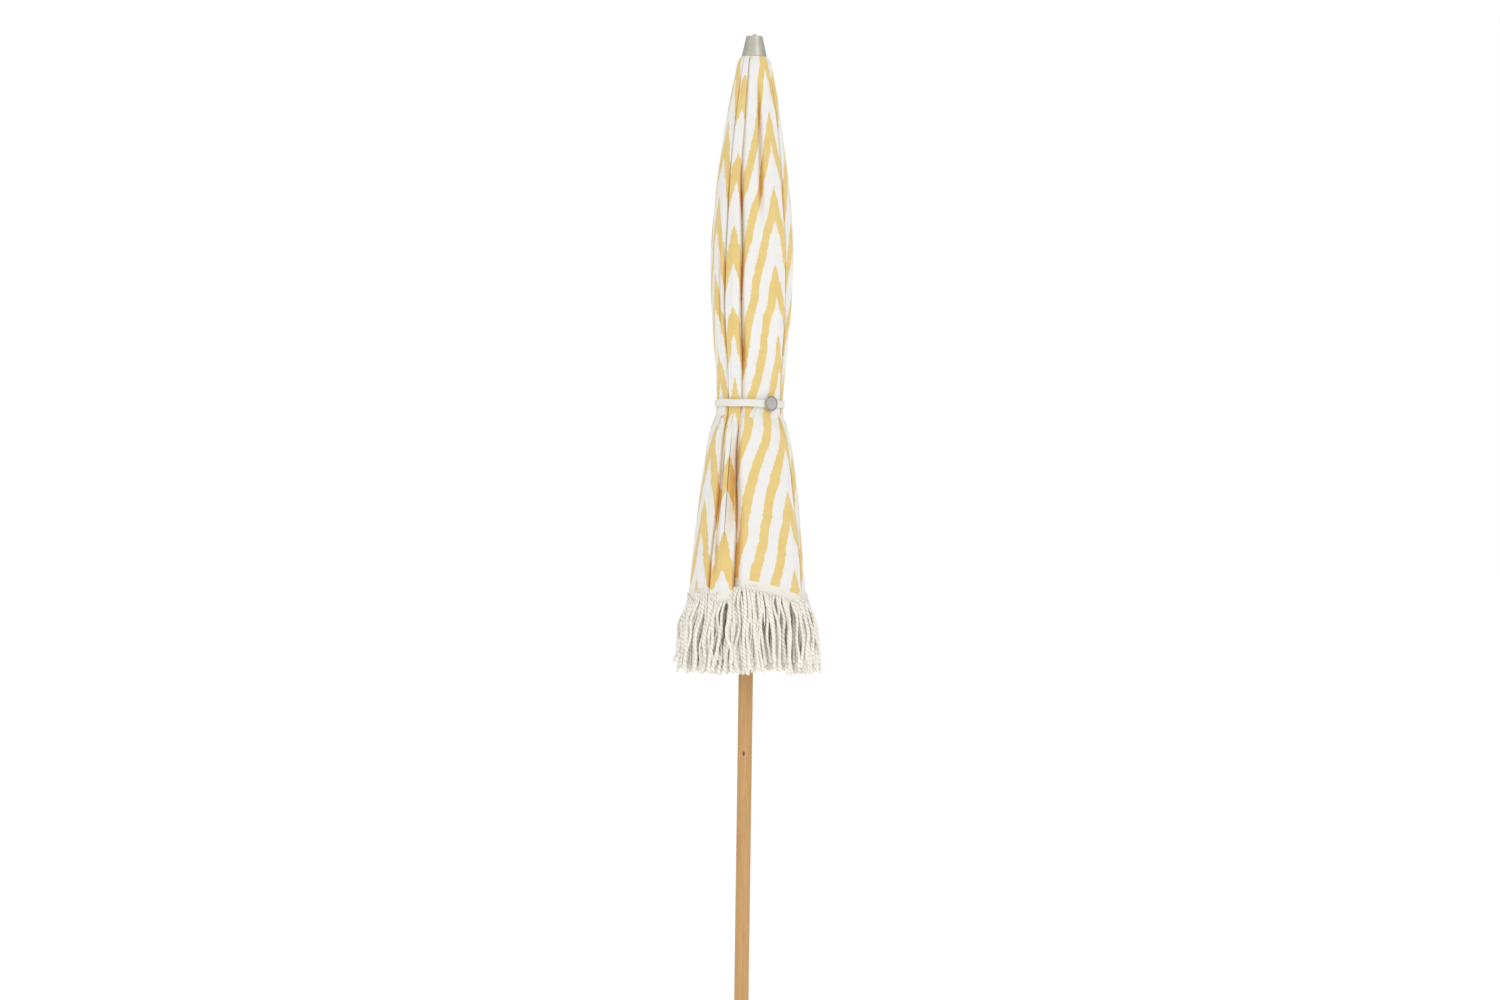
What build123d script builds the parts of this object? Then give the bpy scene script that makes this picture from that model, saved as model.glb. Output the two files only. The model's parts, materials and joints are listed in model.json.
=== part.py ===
"""Fringed beach umbrella, furled: a two-part wooden pole, eight steel ribs and a strapped canopy.

Millimetres, +Z up. The origin is the centre of the pole's foot, and the pole's axis is Z.
The ribs stand at eight even angles, half a pitch away from the X axis.
"""

import os
from math import asin, cos, degrees, radians, sin, sqrt

from build123d import *

# driving dimensions
TOTAL_HEIGHT = 2080.0
POLE_RADIUS = 14.0
POLE_SPLIT = 1010.0  # where the upper pole stands on the lower one
FOOT_RADIUS = 13.0
FOOT_LENGTH = 150.0
RIB_COUNT = 8
RIB_LENGTH = 1000.0  # crown pivot to tip
RIB_RADIUS = 2.5
RIB_REST_ANGLE = 3.3  # from straight down, furled
RIB_OPEN_ANGLE = 67.0  # from straight down, open
STRETCHER_PIVOT_ALONG = 440.0  # along the rib, from the crown pivot
STRETCHER_PIVOT_IN = 8.0  # from the rib's centre line, towards the pole
STRETCHER_LENGTH = 470.0
WIRE_CIRCLE = 20.0  # radius of the wire rings that the ribs and stretchers turn on
WIRE_RADIUS = 1.2
CROWN_PIVOT_Z = 2010.0
CAP_HEIGHT = 40.0
CAP_TOP_RADIUS = 15.5
CAP_BOTTOM_RADIUS = 24.5
HEM_Z = 1018.0
FRINGE_BOTTOM_Z = 850.0
STRAP_Z = 1370.0  # middle of the closing strap
STRAP_WIDTH = 17.0
SNAP_RADIUS = 12.5

# clearances
RUNNING_GAP = 0.1
SLIDING_GAP = 0.05
POLE_END_GAP = 0.3

RIB_PITCH = 360.0 / RIB_COUNT
CAP_BOTTOM_Z = TOTAL_HEIGHT - 4.0 - CAP_HEIGHT
POLE_TOP_Z = CAP_BOTTOM_Z + 24.0

# outline of the furled cloth: height and outer radius, from the crown to the hem
CLOTH_OUTLINE = [
    (2003, 33),
    (1945, 44),
    (1860, 56),
    (1760, 71),
    (1650, 77),
    (1530, 75),
    (1440, 68),
    (1390, 64.5),
    (1350, 64.5),
    (1310, 74),
    (1250, 88),
    (1150, 99),
    (HEM_Z, 112),
]
CLOTH_THICKNESS = 3.0


def rib_point(along, inward=0.0, angle=RIB_REST_ANGLE):
    """A point in a rib's own upright plane, as (radius, height)."""
    turn = radians(angle)
    radius = WIRE_CIRCLE + along * sin(turn) - inward * cos(turn)
    height = CROWN_PIVOT_Z - along * cos(turn) - inward * sin(turn)
    return radius, height


def runner_height(angle):
    """Height of the runner's wire ring when the ribs stand at this angle."""
    radius, height = rib_point(STRETCHER_PIVOT_ALONG, STRETCHER_PIVOT_IN, angle)
    return height - sqrt(STRETCHER_LENGTH**2 - (radius - WIRE_CIRCLE) ** 2)


def stretcher_lean(angle):
    """Degrees between a stretcher and straight down, leaning towards the pole."""
    radius, _ = rib_point(STRETCHER_PIVOT_ALONG, STRETCHER_PIVOT_IN, angle)
    return degrees(asin((radius - WIRE_CIRCLE) / STRETCHER_LENGTH))


RUNNER_Z = runner_height(RIB_REST_ANGLE)
RUNNER_TRAVEL = runner_height(RIB_OPEN_ANGLE) - RUNNER_Z
RIB_TURN = RIB_OPEN_ANGLE - RIB_REST_ANGLE
STRETCHER_TURN = RIB_TURN + stretcher_lean(RIB_OPEN_ANGLE) - stretcher_lean(RIB_REST_ANGLE)


def write(part, label):
    part.label = label
    export_step(part, f"parts/{label}.step")


def write_round(part, name, first_angle=RIB_PITCH / 2):
    """Writes one copy of a piece for each rib, turned round the pole."""
    for n in range(RIB_COUNT):
        copy = part.rotate(Axis.Z, first_angle + n * RIB_PITCH)
        write(copy, f"{name}_{n + 1}")


os.makedirs("parts", exist_ok=True)

# ---------------------------------------------------------------- pole
FOOT_CHAMFER = 2.0

# the foot is turned down, so that it goes into a base or a sand spike as far as its shoulder
with BuildPart() as lower_pole:
    with BuildSketch(Plane.XZ):
        with BuildLine():
            Polyline(
                (0, 0),
                (FOOT_RADIUS - FOOT_CHAMFER, 0),
                (FOOT_RADIUS, FOOT_CHAMFER),
                (FOOT_RADIUS, FOOT_LENGTH),
                (POLE_RADIUS, FOOT_LENGTH + POLE_RADIUS - FOOT_RADIUS),
                (POLE_RADIUS, POLE_SPLIT - POLE_END_GAP),
                (0, POLE_SPLIT - POLE_END_GAP),
                close=True,
            )
        make_face()
    revolve(axis=Axis.Z)
write(lower_pole.part, "lower_pole")

SLEEVE_WALL = 1.3
SLEEVE_BOTTOM_Z = POLE_SPLIT - 46.0
SLEEVE_TOP_Z = POLE_SPLIT + 44.0
with BuildPart() as pole_sleeve:
    with BuildSketch(Plane.XY.offset(SLEEVE_BOTTOM_Z)):
        Circle(POLE_RADIUS + SLIDING_GAP + SLEEVE_WALL)
        Circle(POLE_RADIUS + SLIDING_GAP, mode=Mode.SUBTRACT)
    extrude(amount=SLEEVE_TOP_Z - SLEEVE_BOTTOM_Z)
    outer_rim = pole_sleeve.edges().filter_by(GeomType.CIRCLE).group_by(Axis.Z)[-1].sort_by(SortBy.LENGTH)[-1]
    chamfer(outer_rim, 0.6)
write(pole_sleeve.part, "pole_sleeve")

# the catch sits in a slot on the +X side, just under the open runner
RUNNER_BELOW = 39.0  # the runner's lower end, under its wire ring
RUNNER_ABOVE = 16.0
CATCH_TOP_Z = RUNNER_Z + RUNNER_TRAVEL - RUNNER_BELOW - 0.4
CATCH_HEIGHT = 34.0
CATCH_WIDTH = 5.0
CATCH_DEPTH = 9.0
CATCH_PROUD = 3.5
STOP_PIN_Z = RUNNER_Z + RUNNER_TRAVEL + RUNNER_ABOVE + 2.6
STOP_PIN_RADIUS = 2.0
CAP_SCREW_RADIUS = 2.0
CAP_SCREW_DEPTH = 20.0
with BuildPart() as upper_pole:
    with BuildSketch(Plane.XY.offset(POLE_SPLIT)):
        Circle(POLE_RADIUS)
    extrude(amount=POLE_TOP_Z - POLE_SPLIT)
    with Locations((POLE_RADIUS, 0, CATCH_TOP_Z - CATCH_HEIGHT / 2)):
        Box(2 * (CATCH_DEPTH + 4.0), CATCH_WIDTH + 0.8, CATCH_HEIGHT + 6.0, mode=Mode.SUBTRACT)
    with Locations(Location((0, 0, STOP_PIN_Z), (90, 0, 0))):
        Cylinder(STOP_PIN_RADIUS, 3 * POLE_RADIUS, mode=Mode.SUBTRACT)
    with Locations((0, 0, POLE_TOP_Z - CAP_SCREW_DEPTH / 2)):
        Cylinder(CAP_SCREW_RADIUS, CAP_SCREW_DEPTH, mode=Mode.SUBTRACT)
write(upper_pole.part, "upper_pole")

with BuildPart() as stop_pin:
    with Locations(Location((0, 0, STOP_PIN_Z), (90, 0, 0))):
        Cylinder(STOP_PIN_RADIUS, 2 * POLE_RADIUS + 7.0)
    fillet(stop_pin.edges().filter_by(GeomType.CIRCLE), 0.8)
write(stop_pin.part, "stop_pin")

# ---------------------------------------------------------------- catch
with BuildPart() as runner_catch:
    with BuildSketch(Plane.XZ.offset(-CATCH_WIDTH / 2)):
        with BuildLine():
            Polyline(
                (POLE_RADIUS - CATCH_DEPTH + 3.0, CATCH_TOP_Z - CATCH_HEIGHT),
                (POLE_RADIUS - 1.0, CATCH_TOP_Z - CATCH_HEIGHT),
                (POLE_RADIUS + CATCH_PROUD, CATCH_TOP_Z - 3.0),
                (POLE_RADIUS + CATCH_PROUD, CATCH_TOP_Z),
                (POLE_RADIUS - CATCH_DEPTH + 3.0, CATCH_TOP_Z),
                close=True,
            )
        make_face()
    extrude(amount=CATCH_WIDTH)
write(runner_catch.part, "runner_catch")

CATCH_SPRING_RADIUS = 1.6
with BuildPart() as catch_spring:
    with Locations(
        Location((POLE_RADIUS - CATCH_DEPTH - 0.5, 0, CATCH_TOP_Z - 7.0), (0, 90, 0)),
    ):
        Cylinder(CATCH_SPRING_RADIUS, 6.4)
        Cylinder(CATCH_SPRING_RADIUS - 0.7, 6.4, mode=Mode.SUBTRACT)
write(catch_spring.part, "catch_spring")

# ---------------------------------------------------------------- crown and cap
HUB_RADIUS = 25.0
SLOT_WIDTH = 5.8
SLOT_FLOOR = 15.5
HUB_BORE = POLE_RADIUS + SLIDING_GAP


def wire_ring(height):
    with BuildPart() as ring:
        with BuildSketch(Plane.XZ):
            with Locations((WIRE_CIRCLE, height)):
                Circle(WIRE_RADIUS)
        revolve(axis=Axis.Z)
    return ring.part


def slotted_hub(bottom, top, slot_top, ring_height, bore):
    """A hub on the pole with a slot for each rib and a channel for its wire ring."""
    with BuildPart() as hub:
        with BuildSketch(Plane.XY.offset(bottom)):
            Circle(HUB_RADIUS)
            Circle(bore, mode=Mode.SUBTRACT)
        extrude(amount=top - bottom)
        with BuildSketch(Plane.XY.offset(bottom)):
            with PolarLocations(HUB_RADIUS, RIB_COUNT, start_angle=RIB_PITCH / 2):
                Rectangle(2 * (HUB_RADIUS - SLOT_FLOOR), SLOT_WIDTH)
        extrude(amount=slot_top - bottom, mode=Mode.SUBTRACT)
        with BuildSketch(Plane.XZ):
            with Locations((WIRE_CIRCLE, ring_height)):
                Circle(WIRE_RADIUS + SLIDING_GAP)
        revolve(axis=Axis.Z, mode=Mode.SUBTRACT)
    return hub.part


CROWN_BOTTOM_Z = CROWN_PIVOT_Z - 14.0
CROWN_TOP_Z = CAP_BOTTOM_Z - 2.0
crown = slotted_hub(CROWN_BOTTOM_Z, CROWN_TOP_Z, CROWN_PIVOT_Z + 7.0, CROWN_PIVOT_Z, HUB_BORE)
write(crown, "crown")
write(wire_ring(CROWN_PIVOT_Z), "crown_ring")

with BuildPart() as cap:
    with BuildSketch(Plane.XZ):
        with BuildLine():
            Polyline(
                (HUB_BORE, CAP_BOTTOM_Z),
                (CAP_BOTTOM_RADIUS, CAP_BOTTOM_Z),
                (CAP_TOP_RADIUS, CAP_BOTTOM_Z + CAP_HEIGHT),
                (CAP_SCREW_RADIUS + SLIDING_GAP, CAP_BOTTOM_Z + CAP_HEIGHT),
                (CAP_SCREW_RADIUS + SLIDING_GAP, POLE_TOP_Z + 0.2),
                (HUB_BORE, POLE_TOP_Z + 0.2),
                close=True,
            )
        make_face()
    revolve(axis=Axis.Z)
    rims = cap.edges().filter_by(GeomType.CIRCLE).filter_by(lambda e: e.radius > HUB_BORE + 1)
    fillet(rims, 0.8)
write(cap.part, "cap")

SCREW_HEAD_RADIUS = 4.0
with BuildPart() as cap_screw:
    with BuildSketch(Plane.XY.offset(POLE_TOP_Z - CAP_SCREW_DEPTH + 1.0)):
        Circle(CAP_SCREW_RADIUS - SLIDING_GAP)
    extrude(amount=CAP_BOTTOM_Z + CAP_HEIGHT - POLE_TOP_Z + CAP_SCREW_DEPTH)
    with BuildSketch(Plane.XY.offset(CAP_BOTTOM_Z + CAP_HEIGHT)):
        Circle(SCREW_HEAD_RADIUS)
    extrude(amount=TOTAL_HEIGHT - CAP_BOTTOM_Z - CAP_HEIGHT)
    fillet(cap_screw.edges().group_by(Axis.Z)[-1], 1.8)
write(cap_screw.part, "cap_screw")

# the cloth's own centre, clamped between the crown and the cap
SKIRT_CLOTH = 1.8
with BuildPart() as crown_cloth:
    with BuildSketch(Plane.XZ):
        with BuildLine():
            Polyline(
                (HUB_BORE + 0.2, CROWN_TOP_Z),
                (HUB_RADIUS + 1.0, CROWN_TOP_Z),
                (30.0, CROWN_PIVOT_Z - 4.0),
                (30.0 + SKIRT_CLOTH, CROWN_PIVOT_Z - 4.0),
                (HUB_RADIUS + 2.6, CAP_BOTTOM_Z),
                (HUB_BORE + 0.2, CAP_BOTTOM_Z),
                close=True,
            )
        make_face()
    revolve(axis=Axis.Z)
write(crown_cloth.part, "crown_cloth")

# ---------------------------------------------------------------- runner
GRIP_RADIUS = 18.2
HUB_FOOT_Z = RUNNER_Z - 12.0
HUB_HEAD_Z = RUNNER_Z + RUNNER_ABOVE
with BuildPart() as runner:
    add(slotted_hub(HUB_FOOT_Z, HUB_HEAD_Z, HUB_HEAD_Z + 1.0, RUNNER_Z, POLE_RADIUS + RUNNING_GAP))
    with BuildSketch(Plane.XZ):
        with BuildLine():
            Polyline(
                (POLE_RADIUS + RUNNING_GAP, RUNNER_Z - RUNNER_BELOW),
                (GRIP_RADIUS, RUNNER_Z - RUNNER_BELOW),
                (GRIP_RADIUS, RUNNER_Z - RUNNER_BELOW + 5.0),
                (GRIP_RADIUS - 1.6, RUNNER_Z - RUNNER_BELOW + 9.0),
                (GRIP_RADIUS - 1.6, HUB_FOOT_Z),
                (POLE_RADIUS + RUNNING_GAP, HUB_FOOT_Z),
                close=True,
            )
        make_face()
    revolve(axis=Axis.Z)
write(runner.part, "runner")
write(wire_ring(RUNNER_Z), "runner_ring")

# ---------------------------------------------------------------- ribs
RIB_EYE = 4.0
TANG = 4.0  # thickness of a flattened rod end, across the slot
RIB_TIP = 4.0

rib_tilt = radians(RIB_REST_ANGLE)
rib_down = Vector(sin(rib_tilt), 0, -cos(rib_tilt))
rib_top = Vector(WIRE_CIRCLE, 0, CROWN_PIVOT_Z)


def along_rib(distance):
    return Plane(origin=rib_top + rib_down * distance, x_dir=(0, 1, 0), z_dir=rib_down)


with BuildPart() as rib:
    with BuildSketch(along_rib(RIB_EYE - 1.0)):
        Circle(RIB_RADIUS)
    extrude(amount=RIB_LENGTH - RIB_EYE)
    with Locations(Location(rib_top, (90, 0, 0))):
        Cylinder(RIB_EYE, TANG)
        Cylinder(WIRE_RADIUS + 0.16, 3 * TANG, mode=Mode.SUBTRACT)
    with Locations(Location(rib_top + rib_down * (RIB_LENGTH - RIB_TIP))):
        Sphere(RIB_TIP)
write_round(rib.part, "rib")

JOINT_LENGTH = 26.0
JOINT_WALL = 1.5
CHEEK = 1.6
CHEEK_RADIUS = 4.0
CHEEK_GAP = TANG + 0.3
PIN_RADIUS = 1.5
joint_radius, joint_height = rib_point(STRETCHER_PIVOT_ALONG)
joint_plane = Plane(
    origin=(joint_radius, 0, joint_height),
    x_dir=(-cos(rib_tilt), 0, -sin(rib_tilt)),
    z_dir=(0, 1, 0),
)
with BuildPart() as rib_joint:
    for side in (-1, 1):
        middle = side * (CHEEK_GAP + CHEEK) / 2
        with BuildSketch(joint_plane.offset(middle - CHEEK / 2)):
            with Locations((STRETCHER_PIVOT_IN / 2, 0)):
                Rectangle(STRETCHER_PIVOT_IN, 2 * CHEEK_RADIUS)
            with Locations((STRETCHER_PIVOT_IN, 0)):
                Circle(CHEEK_RADIUS)
        extrude(amount=CHEEK)
    with BuildSketch(joint_plane.offset(-CHEEK_GAP / 2 - CHEEK - 0.8)):
        with Locations((STRETCHER_PIVOT_IN, 0)):
            Circle(PIN_RADIUS)
    extrude(amount=CHEEK_GAP + 2 * CHEEK + 1.6)
    with BuildSketch(along_rib(STRETCHER_PIVOT_ALONG - JOINT_LENGTH / 2)):
        Circle(RIB_RADIUS + JOINT_WALL)
    extrude(amount=JOINT_LENGTH)
    with BuildSketch(along_rib(STRETCHER_PIVOT_ALONG - JOINT_LENGTH)):
        Circle(RIB_RADIUS)
    extrude(amount=2 * JOINT_LENGTH, mode=Mode.SUBTRACT)
write_round(rib_joint.part, "rib_joint")

# ---------------------------------------------------------------- stretchers
# the lower end is an open saddle that rests outside the runner's wire ring
STRETCHER_EYE = 3.4
NECK = 8.0
SADDLE_OUT = 3.3
SADDLE_THICKNESS = 3.0
SADDLE_LENGTH = 17.0
pivot_radius, pivot_height = rib_point(STRETCHER_PIVOT_ALONG, STRETCHER_PIVOT_IN)
stretcher_tilt = radians(stretcher_lean(RIB_REST_ANGLE))
stretcher_down = Vector(-sin(stretcher_tilt), 0, -cos(stretcher_tilt))
stretcher_out = Vector(cos(stretcher_tilt), 0, -sin(stretcher_tilt))
stretcher_top = Vector(pivot_radius, 0, pivot_height)


def along_stretcher(distance, outward=0.0):
    origin = stretcher_top + stretcher_down * distance + stretcher_out * outward
    return Plane(origin=origin, x_dir=(0, 1, 0), z_dir=stretcher_down)


with BuildPart() as stretcher:
    with Locations(Location(stretcher_top, (90, 0, 0))):
        Cylinder(STRETCHER_EYE, TANG)
    with BuildSketch(along_stretcher(0)):
        Rectangle(TANG, 2 * RIB_RADIUS)
    extrude(amount=NECK)
    with BuildSketch(along_stretcher(NECK - 2.0)):
        Circle(RIB_RADIUS)
    extrude(amount=STRETCHER_LENGTH - NECK - SADDLE_LENGTH + 8.0)
    with BuildSketch(along_stretcher(STRETCHER_LENGTH - SADDLE_LENGTH + 4.0, SADDLE_OUT)):
        Rectangle(TANG, SADDLE_THICKNESS)
    extrude(amount=SADDLE_LENGTH)
    with Locations(Location(stretcher_top, (90, 0, 0))):
        Cylinder(PIN_RADIUS + SLIDING_GAP, 3 * TANG, mode=Mode.SUBTRACT)
write_round(stretcher.part, "stretcher")

# ---------------------------------------------------------------- furled cloth
PANEL_ANGLE = RIB_PITCH - 0.5  # each panel stops just short of the next one
with BuildPart() as panel:
    with BuildSketch(Plane.XZ):
        with BuildLine():
            Polyline(
                *[(radius, height) for height, radius in CLOTH_OUTLINE],
                *[(radius - CLOTH_THICKNESS, height) for height, radius in reversed(CLOTH_OUTLINE)],
                close=True,
            )
        make_face()
    revolve(axis=Axis.Z, revolution_arc=PANEL_ANGLE)
write_round(panel.part, "canopy_panel", RIB_PITCH / 2 - PANEL_ANGLE / 2)

FRINGE_TOP_RADIUS = 114.0
FRINGE_FOOT_RADIUS = 138.0
FRINGE_THICKNESS = 9.0
FRINGE_TOP_Z = HEM_Z - 1.0
with BuildPart() as fringe:
    with BuildSketch(Plane.XZ):
        with BuildLine():
            Polyline(
                (FRINGE_TOP_RADIUS, FRINGE_TOP_Z),
                (FRINGE_FOOT_RADIUS, FRINGE_BOTTOM_Z),
                (FRINGE_FOOT_RADIUS - FRINGE_THICKNESS, FRINGE_BOTTOM_Z),
                (FRINGE_TOP_RADIUS - FRINGE_THICKNESS, FRINGE_TOP_Z),
                close=True,
            )
        make_face()
    revolve(axis=Axis.Z, revolution_arc=PANEL_ANGLE)
write_round(fringe.part, "fringe", RIB_PITCH / 2 - PANEL_ANGLE / 2)

# ---------------------------------------------------------------- closing strap
STRAP_RADIUS = 65.8  # inside of its lower layer
STRAP_THICKNESS = 1.4
STRAP_STEP = STRAP_THICKNESS + 0.4
# first and last angle of each stretch of webbing, and its layer
STRAP_STRETCHES = {
    "strap_root": (-62.0, -2.0, 0),
    "strap_right": (-1.0, 103.0, 0),
    "strap_back": (104.0, 208.0, 0),
    "strap_tail": (209.0, 334.0, 1),
}
for name, (first, last, layer) in STRAP_STRETCHES.items():
    with BuildPart() as webbing:
        with BuildSketch(Plane.XZ):
            with Locations((STRAP_RADIUS + layer * STRAP_STEP + STRAP_THICKNESS / 2, STRAP_Z)):
                Rectangle(STRAP_THICKNESS, STRAP_WIDTH)
        revolve(axis=Axis.Z, revolution_arc=last - first)
    write(webbing.part.rotate(Axis.Z, first), name)

SNAP_ANGLE = -54.0
SNAP_HEIGHT = 4.0
snap_out = Vector(cos(radians(SNAP_ANGLE)), sin(radians(SNAP_ANGLE)), 0)


def snap_plane(radius):
    return Plane(origin=snap_out * radius + Vector(0, 0, STRAP_Z), z_dir=snap_out)


TAIL_OUTSIDE = STRAP_RADIUS + STRAP_STEP + STRAP_THICKNESS
with BuildPart() as snap_cap:
    with BuildSketch(snap_plane(TAIL_OUTSIDE + 0.1)):
        Circle(SNAP_RADIUS)
    extrude(amount=SNAP_HEIGHT)
    outward = Axis(origin=(0, 0, STRAP_Z), direction=snap_out)
    fillet(snap_cap.edges().filter_by(GeomType.CIRCLE).sort_by(outward)[-1], 1.4)
write(snap_cap.part, "snap_cap")

SNAP_STUD_RADIUS = 6.0
with BuildPart() as snap_stud:
    with BuildSketch(snap_plane(STRAP_RADIUS - 0.9)):
        Circle(SNAP_STUD_RADIUS)
    extrude(amount=0.5)
write(snap_stud.part, "snap_stud")

print(f"runner ring {RUNNER_Z:.2f}, travel {RUNNER_TRAVEL:.2f}")
print(f"rib turn {RIB_TURN:.3f}, stretcher turn {STRETCHER_TURN:.3f}")
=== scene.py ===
"""Looks of a furled, fringed beach umbrella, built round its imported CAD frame."""

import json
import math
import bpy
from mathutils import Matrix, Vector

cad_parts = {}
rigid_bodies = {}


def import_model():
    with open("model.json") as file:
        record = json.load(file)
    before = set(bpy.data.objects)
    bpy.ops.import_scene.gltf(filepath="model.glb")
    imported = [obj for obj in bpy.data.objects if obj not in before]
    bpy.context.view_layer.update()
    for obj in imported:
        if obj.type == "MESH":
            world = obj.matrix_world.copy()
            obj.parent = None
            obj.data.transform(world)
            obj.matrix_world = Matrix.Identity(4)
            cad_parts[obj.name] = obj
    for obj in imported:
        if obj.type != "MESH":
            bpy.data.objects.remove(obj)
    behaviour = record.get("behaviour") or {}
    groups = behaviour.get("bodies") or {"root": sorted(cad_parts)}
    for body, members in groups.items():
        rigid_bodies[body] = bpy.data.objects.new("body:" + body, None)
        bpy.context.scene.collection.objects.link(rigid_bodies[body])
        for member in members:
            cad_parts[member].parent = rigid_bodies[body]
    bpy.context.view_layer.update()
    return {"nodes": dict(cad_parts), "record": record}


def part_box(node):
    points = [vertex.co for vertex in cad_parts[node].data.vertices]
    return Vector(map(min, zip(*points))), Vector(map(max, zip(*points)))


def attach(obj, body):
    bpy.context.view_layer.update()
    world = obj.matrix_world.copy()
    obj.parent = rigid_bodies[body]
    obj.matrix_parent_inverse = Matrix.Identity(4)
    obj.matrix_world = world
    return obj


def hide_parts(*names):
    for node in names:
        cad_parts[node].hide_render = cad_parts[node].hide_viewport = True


bl_info = {
    "name": "Beach umbrella",
    "version": (1, 0, 0),
    "blender": (4, 5, 0),
    "location": "View3D > Sidebar > Umbrella",
    "description": "Builds the striped cloth, the cord fringe and the finishes of a furled beach umbrella",
    "category": "Object",
}

from functools import partial

import bpy
import numpy as np
from bpy.props import FloatProperty, FloatVectorProperty, IntProperty, PointerProperty
from mathutils import Matrix, Vector

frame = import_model()

MM = 0.001
RECORD = frame["record"]
JOINTS = {j["name"]: j for j in RECORD["behaviour"]["joints"]}
RATIOS = {c["joint"]: c["ratio"] for c in RECORD["behaviour"]["couplings"]}
RIBS = 8
PITCH = 2 * math.pi / RIBS
FIRST_RIB = PITCH / 2


# ---------------------------------------------------------------- helpers
def linear_colour(hex_colour):
    """sRGB hex to the linear RGBA that the shader nodes take."""
    channels = [int(hex_colour[i : i + 2], 16) / 255 for i in (1, 3, 5)]
    return [c / 12.92 if c <= 0.04045 else ((c + 0.055) / 1.055) ** 2.4 for c in channels] + [1.0]


def add_node(material, kind, values=(), **settings):
    """Adds a shader node with its settings and returns its first output. values fills the inputs, in
    order or by name: a socket is linked, a number or colour is set, and None leaves the input alone."""
    tree = material.node_tree
    node = tree.nodes.new(f"ShaderNode{kind}")
    for name, value in settings.items():
        setattr(node, name, value)
    if isinstance(values, dict):
        pairs = [(node.inputs[name], value) for name, value in values.items()]
    else:
        pairs = zip([s for s in node.inputs if s.enabled], values)
    for socket, value in pairs:
        if isinstance(value, bpy.types.NodeSocket):
            tree.links.new(value, socket)
        elif value is not None:
            socket.default_value = value
    return next((s for s in node.outputs if s.enabled), None)


def start_material(name):
    """An empty material, and the function that adds a node to it."""
    material = bpy.data.materials.new(name)
    material.use_nodes = True
    material.node_tree.nodes.clear()
    return material, partial(add_node, material)


def mesh_piece(name, points, faces, materials):
    """A smooth mesh object, with its materials in its slots."""
    mesh = bpy.data.meshes.new(name)
    mesh.from_pydata([tuple(p) for p in points], [], faces)
    mesh.shade_smooth()
    for material in materials:
        mesh.materials.append(material)
    piece = bpy.data.objects.new(name, mesh)
    bpy.context.scene.collection.objects.link(piece)
    return piece


def store_vectors(piece, name, vectors):
    """One vector for each point of the mesh, for the materials to read."""
    layer = piece.data.attributes.new(name, "FLOAT_VECTOR", "POINT")
    layer.data.foreach_set("vector", np.asarray(vectors, np.float32).ravel())


def grid_faces(rows, columns, wrap=False):
    """Quads of a grid of points stored row by row; wrap joins the last column to the first."""
    faces = []
    for r in range(rows - 1):
        for c in range(columns if wrap else columns - 1):
            n = (c + 1) % columns
            faces.append((r * columns + c, r * columns + n, (r + 1) * columns + n, (r + 1) * columns + c))
    return faces


def smooth_curve(outline, at):
    """A cubic through an outline of (place, value) pairs, without overshoot."""
    x, y = np.array(outline, float).T
    order = np.argsort(x)
    x, y = x[order], y[order]
    step = np.diff(y) / np.diff(x)
    slope = np.zeros_like(x)
    same_way = step[1:] * step[:-1] > 0
    slope[1:-1][same_way] = (2 * step[1:] * step[:-1] / (step[1:] + step[:-1] + 1e-12))[same_way]
    slope[0], slope[-1] = step[0], step[-1]
    at = np.clip(at, x[0], x[-1])
    k = np.clip(np.searchsorted(x, at) - 1, 0, len(x) - 2)
    h = x[k + 1] - x[k]
    t = (at - x[k]) / h
    a, b = y[k], y[k + 1]
    return (
        a * (1 + 2 * t) * (1 - t) ** 2
        + b * t**2 * (3 - 2 * t)
        + h * slope[k] * t * (1 - t) ** 2
        - h * slope[k + 1] * t**2 * (1 - t)
    )


def smoothstep(low, high, x):
    """From 0 at low to 1 at high, level at both ends. low may be the greater one."""
    t = np.clip((x - low) / (high - low), 0, 1)
    return t * t * (3 - 2 * t)


# ---------------------------------------------------------------- the fold, read from the frame
def turn_about(joint_name):
    """How a hinge moves its body from rest to the far end of the fold, as a 4 by 4 matrix."""
    joint = JOINTS[joint_name]
    travel = JOINTS["runner_slide"]["range_m"][1]
    angle = RATIOS[joint_name] * travel
    place = Matrix.Translation(joint["pos_m"])
    return np.array(place @ Matrix.Rotation(angle, 4, Vector(joint["axis"])) @ place.inverted())


def moved(matrix, points):
    """Rows of points, carried by a 4 by 4 matrix."""
    return points @ matrix[:3, :3].T + matrix[:3, 3]


def rib_angle(n):
    return FIRST_RIB + (n % RIBS) * PITCH


def body_of_rib(n):
    return f"rib_{n % RIBS + 1}"


POLE_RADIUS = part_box("upper_pole")[1].x
STRAP_Z = (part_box("strap_root")[0].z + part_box("strap_root")[1].z) / 2 / MM
RIB_PIVOT_Z = JOINTS["rib_hinge_1"]["pos_m"][2]
RIB_PIVOT_R = math.hypot(*JOINTS["rib_hinge_1"]["pos_m"][:2])
RIB_TIP = JOINTS["fringe_hang_1"]["pos_m"]
RIB_TIP_R = math.hypot(RIB_TIP[0], RIB_TIP[1])
# a rib's angle from straight down, furled and open
RIB_REST = math.atan2(RIB_TIP_R - RIB_PIVOT_R, RIB_PIVOT_Z - RIB_TIP[2])
RIB_OPEN = RIB_REST + RATIOS["rib_hinge_1"] * JOINTS["runner_slide"]["range_m"][1]


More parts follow.
